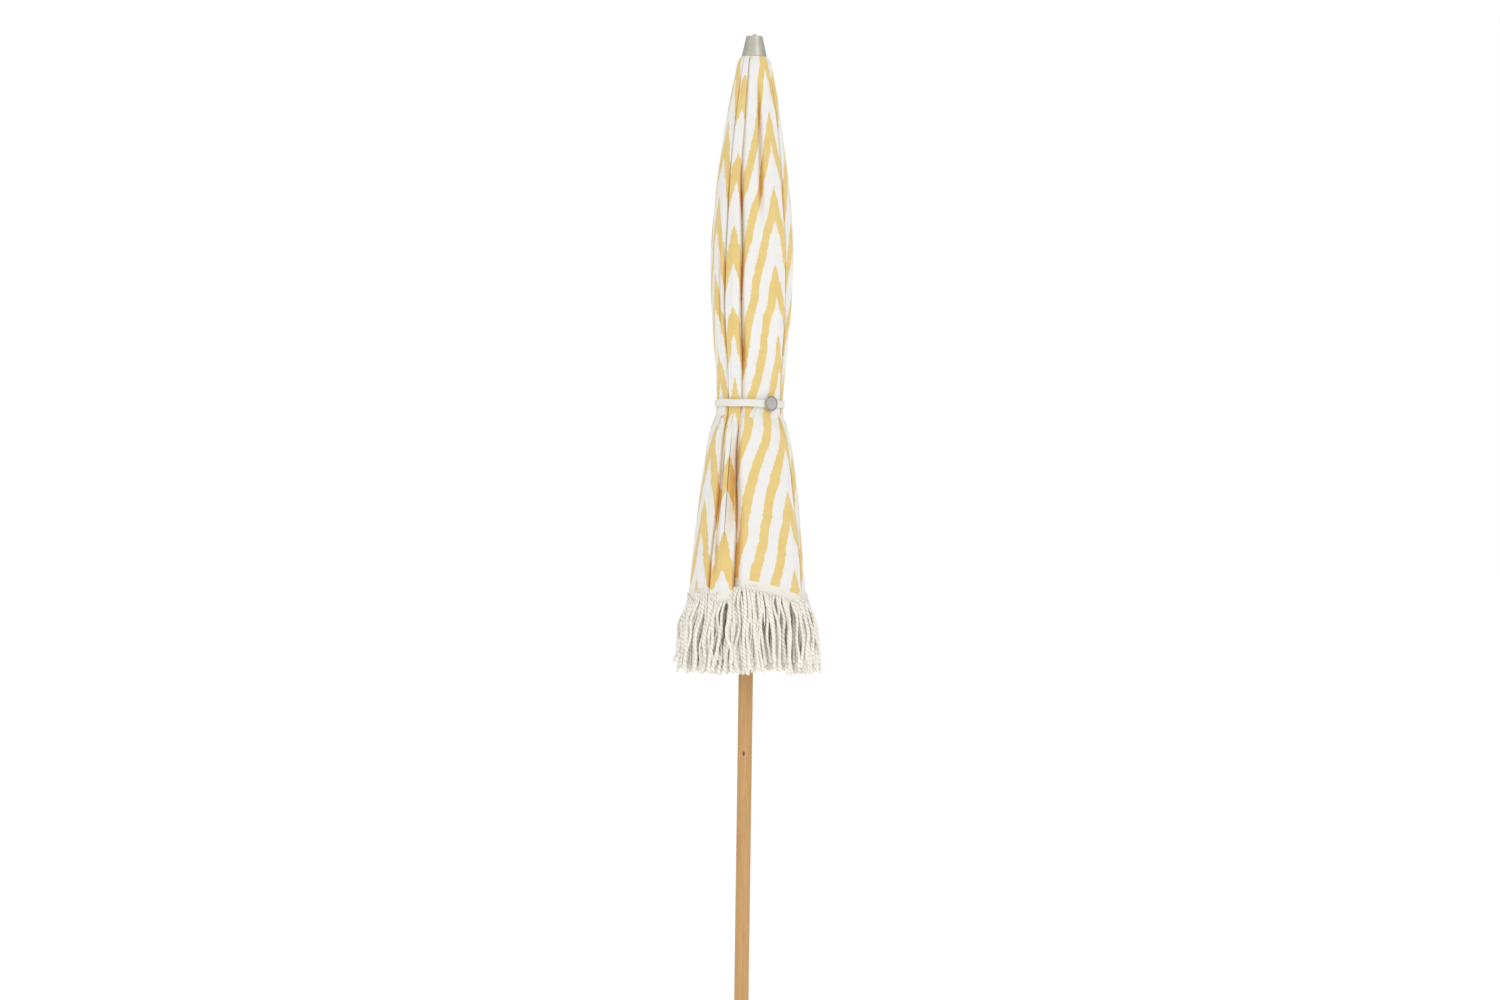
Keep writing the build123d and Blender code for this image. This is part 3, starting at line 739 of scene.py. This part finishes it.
class UMBRELLA_OT_fringe(bpy.types.Operator):
    """Hangs looped, twisted cords side by side from the hem of each gore"""

    bl_idname = "umbrella.fringe"
    bl_label = "Fringe"

    def execute(self, context):
        settings = context.scene.umbrella
        material = twisted_cord(settings.cord)
        random = np.random.default_rng(7)
        for n in range(RIBS):
            points, u, flat = fold_gore(n, settings.cloth.layers)
            hem, hem_u, hem_fold = points[-1] * MM, u[-1], flat[-1, :, 2]
            count = int(gore_width(station(HEM)) * MM / settings.cord.spacing)
            at = (np.arange(count) + 0.5) / count
            tops = np.stack([np.interp(at, hem_u, hem[:, k]) for k in range(3)], -1)
            folded = np.interp(at, hem_u, hem_fold)
            verts, faces, twist, owner = [], [], [], []
            for k, (top, depth) in enumerate(zip(tops, folded)):
                ring_points, ring_faces, ring_twist = hang_cord(top, depth, settings.cord, random)
                faces += [[v + len(verts) for v in face] for face in ring_faces]
                verts += ring_points
                twist += ring_twist
                owner += [k] * len(ring_points)
            fringe = mesh_piece(f"fringe_cords_{n + 1}", verts, faces, [material])
            store_vectors(fringe, "twist", twist)
            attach(fringe, f"fringe_{n + 1}")
            hooks = self.weights(n, tops[owner], at[owner], points * MM, u)
            follow_bodies(fringe, zip(("upper_pole", f"fringe_{(n + 1) % RIBS + 1}", "runner"), hooks))
            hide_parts(f"fringe_{n + 1}")
        return {"FINISHED"}

    def weights(self, n, tops, share, cloth, u):
        """Hook weights that bring each plumb cord towards its place under the open hem, and leave it
        short of the hem where they would have to pass 0 or 1. The two fringes go out and up without
        turning, and the runner straight up, so their shares simply add."""
        seams = open_seam(n, cloth[:, 0]), open_seam(n + 1, cloth[:, -1])
        targets = open_targets(n, cloth, u, seams)[-1]
        hem = hook_weights(moves_of(n), cloth[-1], targets)[2]
        way = np.stack([np.interp(share, u[-1], hem[:, k]) for k in range(3)], -1) - tops
        own, other = (
            (turn_about(f"rib_hinge_{k % RIBS + 1}") @ turn_about(f"fringe_hang_{k % RIBS + 1}"))[:3, 3]
            for k in (n, n + 1)
        )
        along_both = np.linalg.solve(np.stack([own[:2], other[:2]], -1), way[:, :2].T)
        lift = (way[:, 2] - along_both.sum(0) * own[2]) / JOINTS["runner_slide"]["range_m"][1]
        lift = np.clip(lift, 0, 1)
        return np.clip(1 - along_both.sum(0) - lift, 0, 1), np.clip(along_both[1], 0, 1), lift


CORD_SIDES = 6
CORD_STATIONS = (0, 0.11, 0.22, 0.33, 0.44, 0.55, 0.66, 0.77, 0.87, 0.935, 0.975, 1)
CORD_LENGTH = 0.128  # from the seam's hem
CORD_LONGEST = 0.185
CORD_START = 0.006  # above the hem, inside the header


def hang_cord(top, depth, cord, random):
    """One fringe cord as rings of points, its faces, and each point's place round and along it."""
    above = max(top[2] - HEM * MM, 0)  # the hidden cloth's hem is higher than the seam's
    length = min(CORD_LENGTH + 0.9 * above, CORD_LONGEST) + random.uniform(-0.02, 0.012)
    radius = cord.diameter / 2 * random.uniform(0.92, 1.1)
    outward = np.array([top[0], top[1], 0.0])
    outward /= np.linalg.norm(outward)
    aside = np.array([-outward[1], outward[0], 0.0])
    outer = depth < 0.05
    flare = random.uniform(0.010, 0.027) if outer else random.uniform(0.0, 0.016)
    sway, phase = random.uniform(-0.13, 0.13), random.uniform(0, 6.3)
    wobble, curl = random.uniform(0.0008, 0.004), random.uniform(-0.1, 0.25)
    # a random tone for each cord, with painted shade added to the cords that hang from folds and hidden
    # layers
    shade = random.uniform(0, 0.7) + (0 if outer else 0.3)
    spin = random.uniform(0, 1)
    verts, twist = [], []
    for t in CORD_STATIONS:
        run = t * length
        free = max(run - above, 0)
        bend = wobble * math.sin(phase + t * 10.5) * min(free / 0.02, 1)
        out = flare * (1 - math.exp(-free / 0.04)) + bend + curl * max(t - 0.7, 0) ** 2 * length
        side = sway * run + wobble * (math.cos(phase * 1.7 + t * 9.1) - math.cos(phase * 1.7))
        middle = top + outward * (out + 0.001) + aside * side + np.array([0, 0, CORD_START - run])
        # the end is a loop: it opens out, flat, and rounds off
        swell = math.exp(-(((t - 0.95) / 0.04) ** 2))
        wide, thick = 1 + 0.55 * swell, 1 - 0.1 * swell
        close = 0.55 if t == 1 else 1.0
        for s in range(CORD_SIDES):
            turn = s / CORD_SIDES
            a = 2 * math.pi * s / CORD_SIDES
            verts.append(
                middle + (aside * math.cos(a) * wide + outward * math.sin(a) * thick) * radius * close
            )
            # the twist goes round to the back and returns, so that it has no jump
            twist.append((turn if turn <= 0.5 else 1 - turn, run / MM + spin * cord.twist, shade))
    faces = grid_faces(len(CORD_STATIONS), CORD_SIDES, wrap=True)
    faces.append(tuple(range(CORD_SIDES))[::-1])
    faces.append(tuple(len(verts) - CORD_SIDES + s for s in range(CORD_SIDES)))
    return verts, faces, twist


STRAP_THICKNESS = 0.0014
STRAP_HALF_WIDTH = 0.0068
# the webbing's section, with thin edges: across, in half widths, and out, in thicknesses
STRAP_SECTION = (
    (-1, -0.3), (-1, 0.3), (-0.93, 0.5), (-0.4, 0.42), (0.4, 0.42),
    (0.93, 0.5), (1, 0.3), (1, -0.3), (0.93, -0.5), (-0.93, -0.5),
)


class UMBRELLA_OT_strap(bpy.types.Operator):
    """Wraps the webbing strap round the folded cloth, one length for each body it rides on"""

    bl_idname = "umbrella.strap"
    bl_label = "Strap"

    def execute(self, context):
        material = cotton_webbing()
        for node, body in (
            ("strap_root", "rib_8"),
            ("strap_right", "strap_right"),
            ("strap_back", "strap_back"),
            ("strap_tail", "strap_tail"),
        ):
            co = np.array([v.co for v in frame["nodes"][node].data.vertices])
            angles, inner = self.sweep_of(co)
            verts = []
            path = np.linspace(*angles, 64)
            for a in path:
                # the webbing lies just outside the CAD strap's inner side, a little unevenly
                radius = inner + 0.0007 + 0.00035 * math.sin(3 * a + 1) + 0.0002 * math.sin(11 * a)
                height = STRAP_Z * MM + 0.0012 * math.sin(a - 2.2) + 0.0004 * math.sin(7 * a)
                for across, out in STRAP_SECTION:
                    r = radius + out * STRAP_THICKNESS
                    verts.append((r * math.cos(a), r * math.sin(a), height + across * STRAP_HALF_WIDTH))
            columns = len(STRAP_SECTION)
            faces = [f[::-1] for f in grid_faces(len(path), columns, wrap=True)]
            faces.append(tuple(range(columns)))
            faces.append(tuple(len(verts) - columns + c for c in range(columns))[::-1])
            webbing = mesh_piece(f"webbing_{node.split('_')[1]}", verts, faces, [material])
            bpy.ops.object.select_all(action="DESELECT")
            webbing.select_set(True)
            context.view_layer.objects.active = webbing
            bpy.ops.object.shade_smooth_by_angle(angle=math.radians(40))
            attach(webbing, body)
            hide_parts(node)
        return {"FINISHED"}

    def sweep_of(self, co):
        """First and last angle of a strap's CAD stretch round the pole, and its inner radius."""
        angles = np.sort(np.unique(np.round(np.arctan2(co[:, 1], co[:, 0]), 5)))
        gaps = np.diff(np.concatenate([angles, angles[:1] + 2 * math.pi]))
        k = int(np.argmax(gaps))  # the strap isn't in the widest gap
        start = angles[(k + 1) % len(angles)]
        end = angles[k]
        if end < start:
            end += 2 * math.pi
        return (float(start), float(end)), float(np.linalg.norm(co[:, :2], axis=1).min())


SNAP_RADIUS = 0.0141
SNAP_DEPTH = 0.0034
SNAP_RIM = 0.0110, 0.0138  # radii between which it is coloured darker
# each ring's width, and how far it stands out: the rolled rim, the step down inside it and the
# slightly domed middle
SNAP_RINGS = ((0.0007, 0.0005), (0.0012, 0.0), (0.0007, -0.0011), (0.004, 0.0003), (0.003, 0.0002))


class UMBRELLA_OT_snap(bpy.types.Operator):
    """Presses the snap's rimmed, dished button"""

    bl_idname = "umbrella.snap"
    bl_label = "Snap"

    def execute(self, context):
        satin = brushed_metal("satin_nickel", "#CCC9C7", "#B0ADAA", 0.36, (1, 1, 1), 700.0)
        rim = brushed_metal("darker_nickel_rim", "#A5A39E", "#86847E", 0.4, (1, 1, 1), 500.0)
        low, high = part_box("snap_cap")
        middle = (low + high) / 2
        angle = math.atan2(middle.y, middle.x)
        out = Vector((math.cos(angle), math.sin(angle), 0))
        inner = min(out.dot(v.co) for v in frame["nodes"]["snap_cap"].data.vertices)
        bpy.ops.object.select_all(action="DESELECT")
        bpy.ops.mesh.primitive_cylinder_add(
            vertices=64,
            radius=SNAP_RADIUS,
            depth=SNAP_DEPTH,
            location=out * (inner + SNAP_DEPTH / 2 - 0.0004) + Vector((0, 0, middle.z)),
            rotation=out.to_track_quat("Z", "Y").to_euler(),
        )
        button = context.object
        button.name = button.data.name = "snap_button"
        button.data.materials.append(satin)
        button.data.materials.append(rim)
        bpy.ops.object.transform_apply(location=True, rotation=True, scale=True)
        front = max(button.data.polygons, key=lambda f: f.normal.dot(out) * (len(f.vertices) > 4)).index
        bpy.ops.object.mode_set(mode="EDIT")
        bpy.ops.mesh.select_all(action="DESELECT")
        bpy.ops.object.mode_set(mode="OBJECT")
        button.data.polygons[front].select = True
        bpy.ops.object.mode_set(mode="EDIT")
        for thickness, lift in SNAP_RINGS:
            bpy.ops.mesh.inset(thickness=thickness, depth=0)
            bpy.ops.transform.translate(value=out * lift)
        bpy.ops.mesh.select_all(action="DESELECT")
        bpy.ops.object.mode_set(mode="OBJECT")
        self.colour_rim(button, out)
        bevel = button.modifiers.new("edge", "BEVEL")
        bevel.width, bevel.segments, bevel.angle_limit = 0.00035, 2, math.radians(25)
        bpy.ops.object.modifier_apply(modifier="edge")
        bpy.ops.object.shade_smooth_by_angle(angle=math.radians(50))
        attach(button, "strap_tail")
        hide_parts("snap_cap")
        give_material(satin, "snap_stud")
        return {"FINISHED"}

    def colour_rim(self, button, out):
        """The rim and the step inside it are coloured darker than the middle."""
        axis_height = sum(v.co.z for v in button.data.vertices) / len(button.data.vertices)
        aside = Vector((-out.y, out.x, 0))
        for face in button.data.polygons:
            away = math.hypot(face.center.dot(aside), face.center.z - axis_height)
            face.material_index = 1 if SNAP_RIM[0] < away < SNAP_RIM[1] else 0


class UMBRELLA_OT_wood(bpy.types.Operator):
    """Finishes the two halves of the wooden pole"""

    bl_idname = "umbrella.wood"
    bl_label = "Pole"

    def execute(self, context):
        give_material(oiled_ash(context.scene.umbrella.wood), "lower_pole", "upper_pole")
        return {"FINISHED"}


class UMBRELLA_OT_hardware(bpy.types.Operator):
    """Finishes the metal and moulded parts: cap, sleeve, hubs, wires, ribs, stretchers and catch"""

    bl_idname = "umbrella.hardware"
    bl_label = "Hardware"

    def execute(self, context):
        # turned on a lathe and brushed: lines run round the cap
        give_material(
            brushed_metal("brushed_aluminium", "#DDDACE", "#A9A698", 0.36, (0.15, 0.15, 1), 900.0),
            "cap", "cap_screw",
        )
        give_material(
            brushed_metal("drawn_steel", "#C4C4C2", "#8F8F8D", 0.33, (1, 1, 0.04), 800.0),
            "pole_sleeve", "stop_pin",
        )
        give_material(
            brushed_metal("zinc_plated_steel", "#C9CBCB", "#9A9C9D", 0.36, (1, 1, 1), 300.0),
            "crown_ring", "runner_ring", "runner_catch", "catch_spring",
            *(f"rib_joint_{n + 1}" for n in range(RIBS)),
        )
        give_material(fine_surface("moulded_nylon", "#E6E2D8", "#D9D4C8", 0.6, 0.46), "crown", "runner")
        give_material(
            fine_surface("powder_coated_steel", "#EAE7E0", "#DDD9D0", 1.2, 0.38),
            *(f"{kind}_{n + 1}" for kind in ("rib", "stretcher") for n in range(RIBS)),
        )
        return {"FINISHED"}


FLOOR_RADIUS = 60.0
LAMP_AIM = Vector((0, 0, 1.3))  # the middle of the cloth
CAMERA_ASIDE = 0.0035


class UMBRELLA_OT_stage(bpy.types.Operator):
    """Lays the pale floor, hangs the soft lights and places the camera"""

    bl_idname = "umbrella.stage"
    bl_label = "Stage"

    def execute(self, context):
        settings = context.scene.umbrella.stage
        bpy.ops.object.select_all(action="DESELECT")
        bpy.ops.mesh.primitive_circle_add(
            vertices=96, radius=FLOOR_RADIUS, fill_type="NGON", location=(0, 0, -0.0005)
        )
        floor = context.object
        floor.name = "floor"
        material, add = start_material("pale_floor_paper")
        values = {
            "Base Color": linear_colour("#FDFDFC"),
            "Roughness": 1.0,
            "Specular IOR Level": 0.0,
            "Emission Color": (1, 1, 1, 1),
            "Emission Strength": 0.3,
        }
        add("OutputMaterial", {"Surface": add("BsdfPrincipled", values)})
        floor.data.materials.append(material)

        world = bpy.data.worlds.new("studio")
        context.scene.world = world
        world.use_nodes = True
        world.node_tree.nodes.clear()
        # a white room that is brighter in front of the object than behind it, and white where it is seen
        add = partial(add_node, world)
        ahead = add("SeparateXYZ", [add("TexCoord")]).node.outputs["Y"]
        glow = add("MapRange", [ahead, -1.0, 1.0, settings.front_light, settings.back_light])
        strength = add("Mix", [add("LightPath"), glow, 1.0], data_type="FLOAT")
        room = add("Background", {"Color": (1, 1, 1, 1), "Strength": strength})
        add("OutputWorld", {"Surface": room})

        for name, place, size, power in (
            ("key", (3.0, -4.6, 3.6), 1.6, 34),
            ("fill", (-4.2, -3.6, 2.4), 1.2, 10),
        ):
            lamp = bpy.data.lights.new(name, "AREA")
            lamp.shape, lamp.size, lamp.energy = "DISK", size, power
            lamp_object = bpy.data.objects.new(name, lamp)
            lamp_object.location = place
            lamp_object.rotation_euler = (Vector(place) - LAMP_AIM).to_track_quat("Z", "Y").to_euler()
            context.scene.collection.objects.link(lamp_object)

        camera = bpy.data.cameras.new("camera")
        camera.sensor_width, camera.lens = 36, settings.lens
        camera.clip_end = 200
        camera_object = bpy.data.objects.new("camera", camera)
        camera_object.location = (CAMERA_ASIDE, -settings.distance, settings.height)
        camera_object.rotation_euler = (math.radians(90), settings.roll, 0)
        context.scene.collection.objects.link(camera_object)
        context.scene.camera = camera_object
        context.scene.view_settings.view_transform = "Standard"
        return {"FINISHED"}


class UMBRELLA_PT_panel(bpy.types.Panel):
    """Settings and steps of the beach umbrella"""

    bl_idname = "UMBRELLA_PT_panel"
    bl_label = "Beach umbrella"
    bl_space_type = "VIEW_3D"
    bl_region_type = "UI"
    bl_category = "Umbrella"

    def draw(self, context):
        settings = context.scene.umbrella
        for group in (settings.cloth, settings.cord, settings.wood, settings.stage):
            column = self.layout.column(align=True)
            for name in group.bl_rna.properties.keys():
                if name not in ("rna_type", "name"):
                    column.prop(group, name)
        for operator in OPERATORS:
            self.layout.operator(operator.bl_idname)


OPERATORS = (
    UMBRELLA_OT_canopy,
    UMBRELLA_OT_fringe,
    UMBRELLA_OT_strap,
    UMBRELLA_OT_snap,
    UMBRELLA_OT_wood,
    UMBRELLA_OT_hardware,
    UMBRELLA_OT_stage,
)
CLASSES = (
    ClothSettings, CordSettings, WoodSettings, StageSettings, UmbrellaSettings,
    *OPERATORS, UMBRELLA_PT_panel,
)


def register():
    for each in CLASSES:
        bpy.utils.register_class(each)
    bpy.types.Scene.umbrella = PointerProperty(type=UmbrellaSettings)


def unregister():
    del bpy.types.Scene.umbrella
    for each in reversed(CLASSES):
        bpy.utils.unregister_class(each)


def main():
    register()
    bpy.ops.umbrella.canopy()
    bpy.ops.umbrella.fringe()
    bpy.ops.umbrella.strap()
    bpy.ops.umbrella.snap()
    bpy.ops.umbrella.wood()
    bpy.ops.umbrella.hardware()
    bpy.ops.umbrella.stage()


if __name__ == "__main__":
    main()
